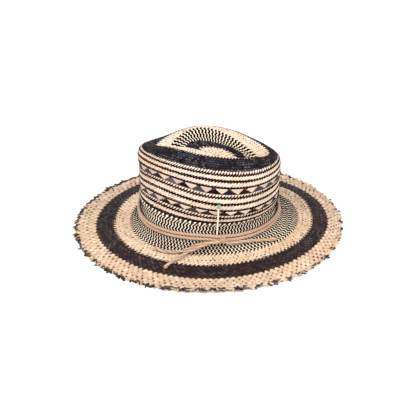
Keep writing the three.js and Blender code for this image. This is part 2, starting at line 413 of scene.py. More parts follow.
@dataclass(frozen=True)
class StrawFinish:
    """Straw: each straw has its own tone between two colours, with faint fibres along it. On the woven
    stitches the tone also holds painted light: painted shade towards each natural stitch's edges, and a
    painted glint in the second colour along each black stitch's ridge.
    """

    name: str
    first: Colour
    second: Colour
    worn: Colour
    roughness: float = 0.6
    worn_most: float = 0.5
    fibre_scale: float = 1400.0
    fibre_depth: float = 0.05
    gloss: float = 0.35

    def material(self) -> bpy.types.Material:
        """Builds the straw's material."""
        paint = Paint(self.name)
        tone = paint.attribute(TONE)
        spot = paint.place()
        broad = paint.noise(spot, 22.0, 3.0)
        fibres = paint.noise(paint.place((1.0, 1.0, 0.25)), self.fibre_scale, 2.0)
        own = paint.blended(tone, self.first, self.second)
        wear = ((broad - 0.42) * 3.0).held(0.0, self.worn_most)
        worn = paint.blended(wear, own, self.worn)
        colour = paint.scaled(worn, 0.88 + fibres * 0.24)
        roughness = (self.roughness - 0.08 + fibres * 0.16).held(0.1, 1.0)
        paint.shader.inputs["Specular IOR Level"].default_value = self.gloss
        return paint.finish(colour, roughness, paint.bump(fibres, self.fibre_depth))


# Painted light: the natural straws' second colours also serve as the painted shade at the stitches' edges,
# and the black straws' second colours are the painted glints along their ridges.
STRAW_FINISHES: tuple[StrawFinish, ...] = (
    StrawFinish("crown_top_straw", (0.86, 0.69, 0.54), (0.72, 0.56, 0.46), (0.70, 0.50, 0.34)),
    StrawFinish("zigzag_straw", (0.98, 0.83, 0.65), (0.82, 0.65, 0.50), (0.80, 0.60, 0.42), worn_most=0.3),
    StrawFinish("crown_wall_straw", (0.88, 0.69, 0.53), (0.58, 0.43, 0.38), (0.66, 0.45, 0.30)),
    # The folded straw is painted darker than the wall's straw: painted shade, so that the flat folds look no
    # brighter than the weave around them.
    StrawFinish("folded_straw", (0.62, 0.45, 0.35), (0.47, 0.33, 0.27), (0.52, 0.36, 0.25), worn_most=0.3),
    StrawFinish("brim_straw", (0.80, 0.61, 0.43), (0.48, 0.34, 0.24), (0.60, 0.39, 0.24)),
    StrawFinish(
        "crown_black_straw", (0.004, 0.001, 0.002), (0.17, 0.16, 0.21), (0.014, 0.006, 0.006),
        roughness=0.45, gloss=0.09,
    ),
    StrawFinish(
        "brim_black_straw", (0.012, 0.004, 0.004), (0.13, 0.095, 0.10), (0.024, 0.010, 0.010),
        roughness=0.45, gloss=0.16,
    ),
    StrawFinish(
        "deep_black_straw", (0.001, 0.0006, 0.0008), (0.020, 0.015, 0.025), (0.004, 0.002, 0.002),
        roughness=0.85, gloss=0.03,
    ),
)


@dataclass(frozen=True)
class TwineFinish:
    """Soft plant twine with fibres along its strands, with painted shade in the grooves between its strands
    and a painted highlight along their crests.
    """

    name: str = "twine_fibre"
    # pale: the painted highlight on the strands' crests, and also the paler fibres
    pale: Colour = (0.78, 0.58, 0.44)
    middle: Colour = (0.43, 0.275, 0.175)
    # deep: the painted shade in the grooves between strands
    deep: Colour = (0.17, 0.085, 0.045)
    tip: Colour = (0.38, 0.20, 0.09)

    def material(self) -> bpy.types.Material:
        """Builds the twine's material."""
        paint = Paint(self.name)
        strands = paint.noise(paint.run(RUN_MAP, (26.0, 9.0, 1.0)), 1.0, 4.0, 0.6)
        fibres = paint.noise(paint.run(RUN_MAP, (160.0, 30.0, 1.0)), 1.0, 3.0, 0.6)
        broad = paint.noise(paint.place(), 45.0, 2.0)
        crest = paint.attribute(CREST)
        # Painted shade: darker towards deep where the strands' crest is low, in the grooves.
        groove = (crest * 1.8 + (strands - 0.5) * 0.8 - 0.1).held(0.0, 1.0)
        # Painted highlight: paler towards pale along the strands' crests.
        painted_crest_highlight = ((crest - 0.88) * 6.0 + (strands - 0.5) * 1.6).held(0.0, 1.0)
        colour = paint.blended(groove, self.deep, self.middle)
        colour = paint.blended(painted_crest_highlight, colour, self.pale)
        colour = paint.blended(((fibres - 0.48) * 0.9).held(0.0, 0.5), colour, self.pale)
        colour = paint.blended(((broad - 0.45) * 1.4).held(0.0, 0.35), colour, self.tip)
        colour = paint.blended(paint.attribute(TONE), colour, self.tip)
        height = strands * 0.7 + fibres * 0.3
        return paint.finish(colour, 0.72 + fibres * 0.2, paint.bump(height, 0.35), 0.15)


@dataclass(frozen=True)
class WoodFinish:
    """Bare pale wood with its grain along the height."""

    name: str = "match_pale_wood"
    pale: Colour = (0.86, 0.74, 0.55)
    grain: Colour = (0.62, 0.45, 0.27)

    def material(self) -> bpy.types.Material:
        """Builds the wood's material."""
        paint = Paint(self.name)
        lines = paint.noise(paint.place((1.0, 1.0, 0.06)), 1500.0, 3.0)
        broad = paint.noise(paint.place(), 60.0, 2.0)
        share = ((lines - 0.45) * 1.6 + (broad - 0.5) * 0.5).held(0.0, 0.8)
        colour = paint.blended(share, self.pale, self.grain)
        return paint.finish(colour, 0.6 + lines * 0.2, paint.bump(lines, 0.06))


@dataclass(frozen=True)
class MatchHeadFinish:
    """A match head's matt green crust, fine grained, with paler patches."""

    name: str = "match_green_crust"
    green: Colour = (0.10, 0.34, 0.22)
    pale: Colour = (0.24, 0.53, 0.40)

    def material(self) -> bpy.types.Material:
        """Builds the match head's material."""
        paint = Paint(self.name)
        grains = paint.noise(paint.place(), 3200.0, 4.0, 0.7)
        patches = paint.noise(paint.place(), 500.0, 2.0)
        colour = paint.blended(((patches - 0.35) * 1.6).held(0.0, 1.0), self.green, self.pale)
        return paint.finish(colour, 0.7 + grains * 0.2, paint.bump(grains, 0.12))


@dataclass(frozen=True)
class BackingFinish:
    """The sheet seen only through the gaps between the stitches: dark brown under natural straw, which is
    painted shade in those gaps, and black under black straw.
    """

    name: str = "straw_backing"
    # painted shade: the dark brown that the gaps between natural stitches show
    natural: Colour = (0.24, 0.14, 0.085)
    black: Colour = (0.014, 0.010, 0.011)

    def material(self) -> bpy.types.Material:
        """Builds the backing's material."""
        paint = Paint(self.name)
        grain = paint.noise(paint.place(), 700.0, 3.0)
        own = paint.blended(paint.attribute(TONE), self.natural, self.black)
        colour = paint.scaled(own, 0.7 + grain * 0.6)
        return paint.finish(colour, 0.75 + grain * 0.15, paint.bump(grain, 0.15))


@dataclass(frozen=True)
class FloorFinish:
    """A plain pale floor."""

    name: str = "pale_floor"
    colour: Colour = (0.93, 0.93, 0.93)
    cloudy: Colour = (0.95, 0.95, 0.95)

    def material(self) -> bpy.types.Material:
        """Builds the floor's material."""
        paint = Paint(self.name)
        cloud = paint.noise(paint.place(), 1.5, 1.0)
        colour = paint.blended(cloud, self.colour, self.cloudy)
        return paint.finish(colour, 0.9, paint.bump(cloud, 0.01))


# Meshes


@dataclass(frozen=True)
class Shape:
    """A small closed shape, made once and then repeated: its points and its faces."""

    points: np.ndarray
    corners: np.ndarray
    sizes: np.ndarray

    @classmethod
    def of(cls, mesh: bmesh.types.BMesh) -> "Shape":
        """Reads the points and faces of a bmesh, and frees it."""
        mesh.verts.index_update()
        points = np.array([vert.co[:] for vert in mesh.verts])
        corners = np.array([vert.index for face in mesh.faces for vert in face.verts])
        sizes = np.array([len(face.verts) for face in mesh.faces])
        mesh.free()
        return cls(points, corners, sizes)


def linked(name: str, mesh: bpy.types.Mesh, material: bpy.types.Material) -> bpy.types.Object:
    """Makes a piece from a mesh and its finish, and puts it in the scene.

    Args:
        name: the piece's name.
        mesh: its mesh.
        material: its finish.

    Returns:
        The piece.
    """
    mesh.materials.append(material)
    piece = bpy.data.objects.new(name, mesh)
    bpy.context.scene.collection.objects.link(piece)
    return piece


class Pile:
    """Copies of small shapes, gathered into one mesh."""

    def __init__(self, name: str) -> None:
        """Starts an empty pile that becomes the piece of that name."""
        self.name = name
        self._points: list[np.ndarray] = []
        self._corners: list[np.ndarray] = []
        self._sizes: list[np.ndarray] = []
        self._tones: list[np.ndarray] = []
        self._count = 0

    def add(self, shape: Shape, points: np.ndarray, tones: np.ndarray) -> None:
        """Adds copies of a shape.

        Args:
            shape: the shape that is repeated.
            points: where the points of each copy are, in millimetres.
            tones: the tone of each copy, or of each point of each copy, from 0 to 1.
        """
        copies, size = points.shape[:2]
        if copies == 0:
            return
        firsts = self._count + np.arange(copies)[:, None] * size
        self._points.append(points.reshape(-1, 3))
        self._corners.append((firsts + shape.corners[None, :]).ravel())
        self._sizes.append(np.tile(shape.sizes, copies))
        tones = np.asarray(tones, float)
        spread = tones[:, None] if tones.ndim == 1 else tones
        self._tones.append(np.broadcast_to(spread, (copies, size)).ravel())
        self._count += copies * size

    def piece(self, material: bpy.types.Material) -> bpy.types.Object:
        """Makes the piece, smooth shaded, with a tone on every point."""
        points = np.concatenate(self._points) * MM
        corners = np.concatenate(self._corners).astype(np.int32)
        sizes = np.concatenate(self._sizes).astype(np.int32)
        mesh = bpy.data.meshes.new(self.name)
        mesh.vertices.add(len(points))
        mesh.vertices.foreach_set("co", points.astype(np.float32).ravel())
        mesh.loops.add(len(corners))
        mesh.loops.foreach_set("vertex_index", corners)
        mesh.polygons.add(len(sizes))
        starts = np.concatenate([[0], np.cumsum(sizes)[:-1]]).astype(np.int32)
        mesh.polygons.foreach_set("loop_start", starts)
        mesh.polygons.foreach_set("use_smooth", np.ones(len(sizes), dtype=bool))
        mesh.update(calc_edges=True)
        mesh.validate()
        tone = mesh.attributes.new(TONE, "FLOAT", "POINT")
        tone.data.foreach_set("value", np.concatenate(self._tones).astype(np.float32))
        return linked(self.name, mesh, material)


def piece_of(name: str, mesh: bmesh.types.BMesh, material: bpy.types.Material) -> bpy.types.Object:
    """Makes a smooth shaded piece from a bmesh, and frees it.

    Args:
        name: the piece's name.
        mesh: its shape, in metres.
        material: its finish.

    Returns:
        The piece.
    """
    for face in mesh.faces:
        face.smooth = True
    data = bpy.data.meshes.new(name)
    mesh.to_mesh(data)
    mesh.free()
    return linked(name, data, material)


def mount(piece: bpy.types.Object, slot: str, *nodes: str) -> bpy.types.Object:
    """Puts a piece on the hat's one body, hides the frame nodes that it stands for and logs its count of
    triangles.
    """
    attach(piece, "root")
    if nodes:
        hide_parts(*nodes)
    triangles = sum(len(face.vertices) - 2 for face in piece.data.polygons)
    log.info("%s: %d triangles", piece.name, triangles)
    return piece


# The weave


class Pattern(Enum):
    """How the stitches of a row are coloured."""

    NATURAL = "natural"
    BLACK = "black"
    ZIGZAG = "zigzag"


@dataclass(frozen=True)
class Zone:
    """A run of woven rows with one pattern.

    stitches is the count round the hat, or 0 where it follows the row's own length. lean is how
    many stitches a stitch leans over one row, slant how many rows it drops along its own width,
    full how wide it is next to its own room and reach how far it runs each way from its middle, in
    rows. shingle is how far its outer end lies above its inner end, proud how far black stitches
    stand above natural ones, and sunk how low all of them lie, in millimetres. tone is how dull
    the straw is, and specks is the share of stitches with a speck of black straw beside them.
    """

    first: float
    last: float
    rows: int
    stitches: int
    pattern: Pattern
    lean: float = 0.85
    slant: float = 0.0
    full: float = 1.0
    reach: float = 0.78
    shingle: float = 0.5
    proud: float = 0.15
    tone: float = 0.5
    sunk: float = 0.0
    specks: float = 0.0

    @property
    def height(self) -> float:
        """How wide one of its rows is."""
        return (self.last - self.first) / self.rows

    def middle(self, row: int) -> float:
        """Where the middle of one of its rows lies."""
        return self.first + (row + 0.5) * self.height


WALL_STITCHES = 126


def twined(
    first: float,
    last: float,
    rows: int,
    stitches: int,
    pattern: Pattern,
    specks: float = 0.0,
    tone: float = 0.5,
) -> Zone:
    """Rows of long stitches that run round the hat like the strands of a rope."""
    return Zone(
        first, last, rows, stitches, pattern, lean=0.2, slant=0.45, full=1.06, proud=0.5, tone=tone,
        specks=specks,
    )


def zigzag(first: float, last: float, rows: int, stitches: int, lean: float = 1.0) -> Zone:
    """Rows of black and natural stitches by turns, which lean one way and then the other."""
    return Zone(
        first, last, rows, stitches, Pattern.ZIGZAG, lean=lean, reach=0.64, shingle=0.0, proud=0.6, tone=0.0
    )


def line(first: float, last: float) -> Zone:
    """A single black row on the crown's wall, whose stitches stand out like teeth."""
    return Zone(
        first, last, 1, WALL_STITCHES, Pattern.BLACK, lean=0.95, full=0.88, reach=0.88, shingle=0.1,
        proud=0.5,
    )


def beads(first: float, last: float) -> Zone:
    """A single bright row on the crown's wall, with dark gaps between its stitches; its tone of 0 paints it
    paler than the bands, as a painted highlight.
    """
    return Zone(
        first, last, 1, WALL_STITCHES, Pattern.NATURAL, lean=0.6, full=0.94, reach=0.8, shingle=0.2,
        tone=0.0,
    )


def teeth(row: float, stitches: int) -> Zone:
    """Short black stitches that reach over the natural straw at the inner edge of a black band."""
    return Zone(
        row - 0.7, row + 0.4, 1, stitches, Pattern.BLACK, lean=0.4, slant=0.45, full=0.72, proud=0.8
    )


def band(first: float, last: float, rows: int = 2, sunk: float = 0.0) -> Zone:
    """A natural band on the crown's wall."""
    return Zone(
        first, last, rows, WALL_STITCHES, Pattern.NATURAL, full=1.12, shingle=0.3, tone=0.25, sunk=sunk
    )


DENT_ZIGZAG: tuple[Zone, ...] = (zigzag(10, 17, 7, 116, lean=0.7),)
CROWN_TOP: tuple[Zone, ...] = (
    twined(0.3, 6, 6, 0, Pattern.NATURAL),
    teeth(6, 0),
    twined(6, 10, 4, 0, Pattern.BLACK),
    twined(17, 23, 5, 96, Pattern.NATURAL, specks=0.3),
    teeth(23, 88),
    Zone(23, 29.5, 6, 104, Pattern.BLACK, lean=0.3, slant=0.5, full=0.86, reach=0.68, proud=0.4),
)
CROWN_WALL: tuple[Zone, ...] = (
    beads(29.5, 30.7),
    line(30.5, 31.7),
    band(31.6, 33.6),
    line(33.5, 34.7),
    band(34.6, 36.8),
    line(36.7, 37.9),
    band(37.8, 40.6, rows=3, sunk=0.5),
    beads(40.5, 41.6),
    line(41.4, 42.6),
    band(42.5, 44.9),
    line(44.8, 46.0),
    band(45.9, 48.3),
    line(48.2, 49.4),
    band(49.3, 51.6, sunk=0.5),
    beads(51.5, 52.6),
    line(52.4, 53.6),
    band(53.5, 55.3),
    line(55.2, 56.3),
)
WALL_ZIGZAG: tuple[Zone, ...] = (
    Zone(56.3, 57.9, 1, 84, Pattern.NATURAL, lean=0.15, full=0.55, reach=0.5, shingle=0.0, tone=0.0),
    zigzag(57.8, 67, 7, 256),
)
BRIM_ZIGZAG: tuple[Zone, ...] = (zigzag(67, 76, 9, 256),)
BRIM: tuple[Zone, ...] = (
    twined(76, 84, 5, 128, Pattern.NATURAL, specks=0.35, tone=0.15),
    teeth(84, 140),
    twined(84, 93, 6, 128, Pattern.BLACK),
    twined(93, 101, 5, 128, Pattern.NATURAL, specks=0.5, tone=0.45),
)


@dataclass
class Weave:
    """The hat's stitches, as wide grains of straw that lean and lie close together, row by row."""

    form: StrawForm
    grain_width: float = 0.50
    grain_thickness: float = 0.9
    wide_black: float = 1.25
    blunt: float = 0.55
    disc_pitch: float = 4.6
    fewest: int = 6
    # painted shade: how much duller each natural stitch is painted towards its edges
    painted_edge_shade: float = 0.35
    # painted highlight: how narrow the glint painted along each black stitch's ridge is
    painted_glint_power: float = 1.3
    wander: float = 0.06
    wander_waves: int = 3
    place_spread: float = 0.035
    row_spread: float = 0.025
    size_spread: float = 0.05
    thickness_spread: float = 0.06
    tone_spread: float = 0.24
    speck_size: float = 0.24
    speck_thickness: float = 0.5
    speck_waves: int = 5
    seed: int = 11
    grain: Shape = field(init=False)

    def __post_init__(self) -> None:
        """Makes the grain's shape."""
        self.random = np.random.default_rng(self.seed)
        self.grain = self._grain_shape()

    def _grain_shape(self) -> Shape:
        """A flattened grain with blunt ends, from -1 to 1 each way, with its length along Y.

        Returns:
            The shape.
        """
        mesh = bmesh.new()
        bmesh.ops.create_uvsphere(mesh, u_segments=6, v_segments=4, radius=1.0)
        bmesh.ops.rotate(mesh, verts=mesh.verts, matrix=Matrix.Rotation(math.pi / 2, 3, "X"))
        bmesh.ops.rotate(mesh, verts=mesh.verts, matrix=Matrix.Rotation(math.pi / 6, 3, "Y"))
        bmesh.ops.recalc_face_normals(mesh, faces=mesh.faces)
        shape = Shape.of(mesh)
        x, y, z = shape.points.T
        ring = np.maximum(np.hypot(x, z), TINY) ** (self.blunt - 1)
        return Shape(np.stack([x * ring, y, z * ring], axis=1), shape.corners, shape.sizes)

    def _stitch_row(self, zone: Zone, row: int, naturals: Pile, blacks: Pile) -> None:
        """Lays one row of stitches, whose ends lie between the ends of the row before.

        Args:
            zone: the zone that the row is in.
            row: its number in the zone.
            naturals: where the natural stitches go.
            blacks: where the black ones go.
        """
        height = zone.height
        middle = zone.middle(row)
        pairs = round(self.form.row_length(middle) / self.disc_pitch / 2)
        count = zone.stitches or max(self.fewest, 2 * pairs)
        random = self.random
        turning = zone.pattern is Pattern.ZIGZAG
        steps = np.arange(count)
        if turning:
            stagger = 0.0
            dark = steps % 2 == 0
        else:
            stagger = 0.5 * (row % 2) if zone.slant else (0.5 - zone.lean) * row
            dark = np.full(count, zone.pattern is Pattern.BLACK)
        lean = zone.lean * (-1 if turning and row % 2 else 1)

        waves = np.sin(TURN * (steps / count * self.wander_waves + row * 0.37))
        centres = steps + stagger + random.normal(0, self.place_spread, count)
        rows = middle + self.wander * height * waves + random.normal(0, self.row_spread, count)
        wide = zone.full * self.grain_width * (1 + random.normal(0, self.size_spread, count))
        if turning:
            wide[dark] *= self.wide_black
        long = zone.reach * height * (1 + random.normal(0, self.size_spread, count))
        thick = self.grain_thickness * (1 + random.normal(0, self.thickness_spread, count))
        x, y, z = self.grain.points.T
        along = y[None, :] * long[:, None]
        sideways = x[None, :] * wide[:, None]
        across = centres[:, None] + sideways - lean * along / height
        down = rows[:, None] + along + zone.slant * height * sideways
        lifts = z[None, :] * (thick + zone.proud * dark)[:, None] - self.form.wall / 2 - zone.sunk
        lifts = lifts + zone.shingle * along / height
        points = self.form.lifted(across / count, down, lifts)
        # Painted light: natural stitches are painted duller towards their edges as painted shade, and black
        # ones get a painted glint along their ridge.
        ridge = np.clip(z, 0, 1) * np.clip(1 - 1.2 * np.abs(y), 0, 1)
        pale = random.normal(zone.tone, self.tone_spread, count)[:, None] + self.painted_edge_shade * (1 - ridge)
        painted_glint = random.random(count)[:, None] ** 1.5 * ridge**self.painted_glint_power
        naturals.add(self.grain, points[~dark], np.clip(pale[~dark], 0, 1))
        blacks.add(self.grain, points[dark], painted_glint[dark])
        if zone.specks:
            self._speckle(zone, row, count, blacks)

    def _speckle(self, zone: Zone, row: int, count: int, blacks: Pile) -> None:
        """Shows specks of black straw at the foot of some natural stitches.

        Args:
            zone: the zone that the row is in.
            row: its number in the zone.
            count: its count of stitches.
            blacks: where the specks go.
        """
        random = self.random
        steps = np.arange(count)
        waves = np.sin(TURN * (self.speck_waves * steps / count + 0.3 * row))
        steps = steps[random.random(count) < zone.specks * (1 + 0.6 * waves)]
        size = self.speck_size * (0.5 + 0.5 * random.random(len(steps)))[:, None]
        x, y, z = self.grain.points.T
        along = y * zone.height * size + x * 0.1
        centres = steps + 0.5 * (row % 2) + 0.5 + random.normal(0, 0.04, len(steps))
        across = centres[:, None] + x * size
        rows = zone.middle(row) + random.normal(0, 0.05, len(steps))
        lifts = np.broadcast_to(z * self.speck_thickness - 0.1, along.shape)
        points = self.form.lifted(across / count, rows[:, None] + along, lifts)
        blacks.add(self.grain, points, 0.3 + 0.7 * random.random(len(steps)))

    def lay(
        self, name: str, zones: Sequence[Zone], natural: bpy.types.Material, black: bpy.types.Material
    ) -> None:
        """Weaves some zones as one natural and one black piece.

        Args:
            name: what the pieces' names start with.
            zones: the zones, from the crown outwards.
            natural: the finish of their natural straw.
            black: the finish of their black straw.
        """
        naturals = Pile(f"{name}_natural_straw")
        blacks = Pile(f"{name}_black_straw")
        for zone in zones:
            for row in range(zone.rows):
                self._stitch_row(zone, row, naturals, blacks)
        mount(naturals.piece(natural), "straw")
        mount(blacks.piece(black), "straw")


@dataclass
class Backing:
    """A thin sheet in the middle of the straw's wall, which closes the gaps between stitches and shows
    painted shade through the gaps between natural ones.
    """

    form: StrawForm
    finish: bpy.types.Material
    steps_round: int = 240
    steps_out: int = 170
    edge_row: float = 101.0
    thickness: float = 0.5
    black_zones: tuple[tuple[float, float], ...] = (
        (6, 17), (23, 31.6), (33.6, 34.6), (36.8, 37.8), (40.6, 42.5), (44.9, 45.9), (48.3, 49.3),
        (51.6, 53.5), (55.4, 76), (84, 93),
    )

    def build(self) -> None:
        """Makes the sheet, with its seam and its centre closed."""
        mesh = bmesh.new()
        bmesh.ops.create_grid(mesh, x_segments=self.steps_round, y_segments=self.steps_out, size=0.5)
        flat = np.array([vert.co[:] for vert in mesh.verts]) + 0.5
        shares = flat[:, 0]
        rows = flat[:, 1] * self.edge_row
        spots = self.form.lifted(shares, rows, np.full(len(rows), -self.form.wall / 2)) * MM
        spots[rows < TINY] = spots[rows < TINY].mean(axis=0)
        tone = mesh.verts.layers.float.new(TONE)
        dark = np.zeros(len(rows))
        for first, last in self.black_zones:
            dark[(rows >= first) & (rows <= last)] = 1.0
        for vert, spot, share in zip(mesh.verts, spots, dark):
            vert.co = spot
            vert[tone] = share
        bmesh.ops.remove_doubles(mesh, verts=mesh.verts, dist=TINY)
        bmesh.ops.recalc_face_normals(mesh, faces=mesh.faces)
        sheet = piece_of("straw_backing", mesh, self.finish)
        wall = sheet.modifiers.new("wall", "SOLIDIFY")
        wall.thickness = self.thickness * MM
        wall.offset = 0.0
        mount(sheet, "straw", "hat_body")


# Each band's name, upper row, lower row, count of triangles, phase and seed
FOLDED_BANDS: tuple[tuple[str, float, float, int, float, int], ...] = (
    ("upper", 37.7, 40.7, 26, 0.852, 5),
    ("lower", 49.2, 51.7, 27, 0.254, 9),
)


@dataclass
class FoldedTriangles:
    """A band of folded straw: black triangles pointing up with natural ones between them."""

    form: StrawForm
    natural: bpy.types.Material
    black: bpy.types.Material
    name: str
    top: float
    bottom: float
    count: int
    phase: float
    seed: int
    black_share: float = 1.3
    natural_share: float = 0.9
    black_drop: float = 0.45
    black_rise: float = 0.4
    black_lift: float = 0.2
    # the largest share of the painted glint colour that a black triangle gets, at random
    black_painted_glint: float = 0.5
    lift: float = -0.25
    thickness: float = 0.5
    tip: float = 0.07
    edge_height: float = 0.35
    edge_steepness: float = 3.0

    def _triangle(self) -> Shape:
        """A thin triangle, its foot from -0.5 to 0.5 along X at y = 0.5 and its tip at y = -0.5.

        Returns:
            The shape.
        """
        mesh = bmesh.new()
        made = bmesh.ops.create_grid(mesh, x_segments=8, y_segments=4, size=0.5)
        for vert in made["verts"]:
            vert.co.x *= self.tip + (1 - self.tip) * (vert.co.y + 0.5)
        grown = bmesh.ops.extrude_face_region(mesh, geom=list(mesh.faces))
        raised = [item for item in grown["geom"] if isinstance(item, bmesh.types.BMVert)]
        bmesh.ops.translate(mesh, verts=raised, vec=Vector((0, 0, 1)))
        bmesh.ops.recalc_face_normals(mesh, faces=mesh.faces)
        shape = Shape.of(mesh)
        x, y, z = shape.points.T
        reach = (self.tip + (1 - self.tip) * (y + 0.5)) / 2
        edge = np.clip(1 - np.abs(x) / reach, 0, 1)
        risen = np.minimum(1, edge * self.edge_steepness) ** 0.5
        crowned = np.where(z > 0.5, self.edge_height + (1 - self.edge_height) * risen, 0.0)
        return Shape(np.stack([x, y, crowned], axis=1), shape.corners, shape.sizes)

    def _band(self, pile: Pile, shape: Shape, offset: float, share: float, up: bool) -> None:
        """Lays one colour's triangles.

        Args:
            pile: where they go.
            shape: the triangle.
            offset: how far along the band the first lies, in triangles.
            share: how much of the band's pitch a triangle's foot takes.
            up: whether the triangles point up.
        """
        random = np.random.default_rng(self.seed)
        steps = np.arange(self.count) + offset + self.phase + random.normal(0, 0.035, self.count)
        wide = share * (1 + random.normal(0, 0.05, self.count))
        way = 1 if up else -1
        top = self.top + self.black_drop * up
        bottom = self.bottom - self.black_rise * up
        x, y, z = shape.points.T
        slip = random.normal(0, 0.08, self.count)
        across = steps[:, None] + way * x * wide[:, None] + slip[:, None] * (0.5 - y)
        rows = np.broadcast_to((top + bottom) / 2 + way * y * (bottom - top), across.shape)
        lifts = np.broadcast_to(self.lift + self.black_lift * up + z * self.thickness, across.shape)
        points = self.form.lifted(across / self.count, rows, lifts)
        tones = random.random(self.count)
        # Black triangles get a random share of the black straw's painted glint colour.
        pile.add(shape, points, self.black_painted_glint * tones**3 if up else tones)

    def build(self) -> None:
        """Makes the band's two pieces."""
        shape = self._triangle()
        blacks = Pile(f"{self.name}_black_folds")
        self._band(blacks, shape, 0.0, self.black_share, True)
        mount(blacks.piece(self.black), "straw")
        naturals = Pile(f"{self.name}_natural_folds")
        self._band(naturals, shape, 0.5, self.natural_share, False)
        mount(naturals.piece(self.natural), "straw")


@dataclass
class FrayedEdge:
    """The loose straw ends that stick out of the brim's edge."""

    form: StrawForm
    natural: bpy.types.Material
    black: bpy.types.Material
    row: float = 100.8
    ends: int = 780
    black_share: float = 0.62
    black_fade: float = 200.0
    shortest: float = 3.0
    longest: float = 8.0
    width: float = 3.8
    thickness: float = 1.2
    turn: float = 1.05
    depth: float = 1.0
    taper: float = 0.4
    clumps: int = 47
    clearance: float = 0.05
    seed: int = 23

    def _strip(self) -> Shape:
        """A flat strip along Y from 0 to 1, tapered towards its end.

        Returns:
            The shape.
        """
        mesh = bmesh.new()
        bmesh.ops.create_cube(mesh, size=1.0)
        bmesh.ops.translate(mesh, verts=mesh.verts, vec=Vector((0, 0.5, 0)))
        long_edges = [edge for edge in mesh.edges if abs(edge.verts[0].co.y - edge.verts[1].co.y) > 0.5]
        bmesh.ops.subdivide_edges(mesh, edges=long_edges, cuts=2)
        return Shape.of(mesh)

    def build(self) -> None:
        """Makes the natural and the black straw ends."""
        random = np.random.default_rng(self.seed)
        shape = self._strip()
        steps = np.arange(self.ends)
        clumps = np.sin(steps / self.ends * TURN * self.clumps) + random.normal(0, 0.9, self.ends)
        shares = (steps + random.normal(0, 0.5, self.ends)) / self.ends
        rows = np.full(self.ends, self.row) + random.normal(0, 0.25, self.ends)
        facing = self.form.facing(shares, rows)
        starts = self.form.lifted(shares, rows, -self.depth + random.uniform(-0.3, 0.8, self.ends))
        clumps -= starts[:, 0] / self.black_fade
        dark = clumps > np.quantile(clumps, 1 - self.black_share)
        outward = self.form.lifted(shares, rows + 0.5, -self.depth)
        outward = outward - self.form.lifted(shares, rows, -self.depth)
        outward /= np.linalg.norm(outward, axis=1, keepdims=True)
        sideways = np.cross(facing, outward)
        turn = random.normal(self.turn, 0.35, self.ends)[:, None]
        rise = random.normal(0.02, 0.16, self.ends)[:, None]
        ahead = outward * np.cos(turn) + sideways * np.sin(turn) + facing * rise
        ahead /= np.linalg.norm(ahead, axis=1, keepdims=True)
        beside = np.cross(facing, ahead)
        spread = self.longest - self.shortest
        lengths = self.shortest + spread * random.random(self.ends) ** 1.3
        widths = self.width * random.uniform(0.6, 1.15, self.ends)
        bends = random.normal(0, 0.25, self.ends) * lengths
        x, y, z = shape.points.T
        taper = 1 - self.taper * y
        points = (
            starts[:, None]
            + beside[:, None] * (x * taper * widths[:, None] + bends[:, None] * y**2)[..., None]
            + ahead[:, None] * (y * lengths[:, None])[..., None]
            + facing[:, None] * (z * self.thickness * taper)[:, None]
        )
        points[..., 2] = np.maximum(points[..., 2], self.clearance)
        tones = np.clip(random.normal(0.5, 0.3, self.ends), 0, 1)
        for name, pick, material in (
            ("edge_natural_ends", ~dark, self.natural),
            ("edge_black_ends", dark, self.black),
        ):
            pile = Pile(name)
            pile.add(shape, points[pick], tones[pick])
            mount(pile.piece(material), "straw")


# The twine


@dataclass(frozen=True)
class Waypoint:
    """A place on the hat: an angle in degrees, a woven row and a height in mm above the straw.

    Where no height is given, it is that of the middle of a length of twine that lies on the straw.
    """

    angle: float
    row: float
    lift: float = 3.2


def waypoints_of(*places: tuple[float, ...]) -> tuple[Waypoint, ...]:
    """Waypoints from their angles, rows and heights, on the straw where no height is given."""
    return tuple(Waypoint(*place) for place in places)


TAIL_FRONT: tuple[Waypoint, ...] = waypoints_of(
    (281.6, 66.9, 8.7), (277.5, 66.9, 8.4), (272, 67.8, 8.3), (267.5, 69, 8.2), (262.6, 70.6, 8.1),
    (259.4, 71.8, 8), (256, 73.6, 7.5), (252.8, 77.6, 5.4), (250.4, 80.6, 3.9), (248.2, 82.7),
    (245.8, 86.3), (244.7, 90.3),
)
TAIL_LOOP: tuple[Waypoint, ...] = waypoints_of(
    (281.2, 67.5), (276, 67.5), (270, 68), (264.5, 69.2), (259.7, 70.8), (256.7, 72), (250.5, 74.8),
    (243.6, 77.3), (237.2, 78.1), (233.3, 77.8), (230.6, 76.8),
)
TAIL_BACK: tuple[Waypoint, ...] = waypoints_of(
    (290, 68.8), (294.5, 68.85), (299.9, 69.3), (305.4, 70.2), (311.4, 72), (315.5, 73.5), (319.3, 74.9),
)


def run_along(points: np.ndarray) -> np.ndarray:
    """How far along a line each of its points lies."""
    return np.concatenate([[0], np.cumsum(np.linalg.norm(np.diff(points, axis=0), axis=1))])


def between(
    place: np.ndarray, low: float, high: float, first: np.ndarray, second: np.ndarray
) -> np.ndarray:
    """The point at a place on the line from first, which is at low, to second, which is at high."""
    return (high - place) / (high - low) * first + (place - low) / (high - low) * second


SPLINE_STEPS = 24


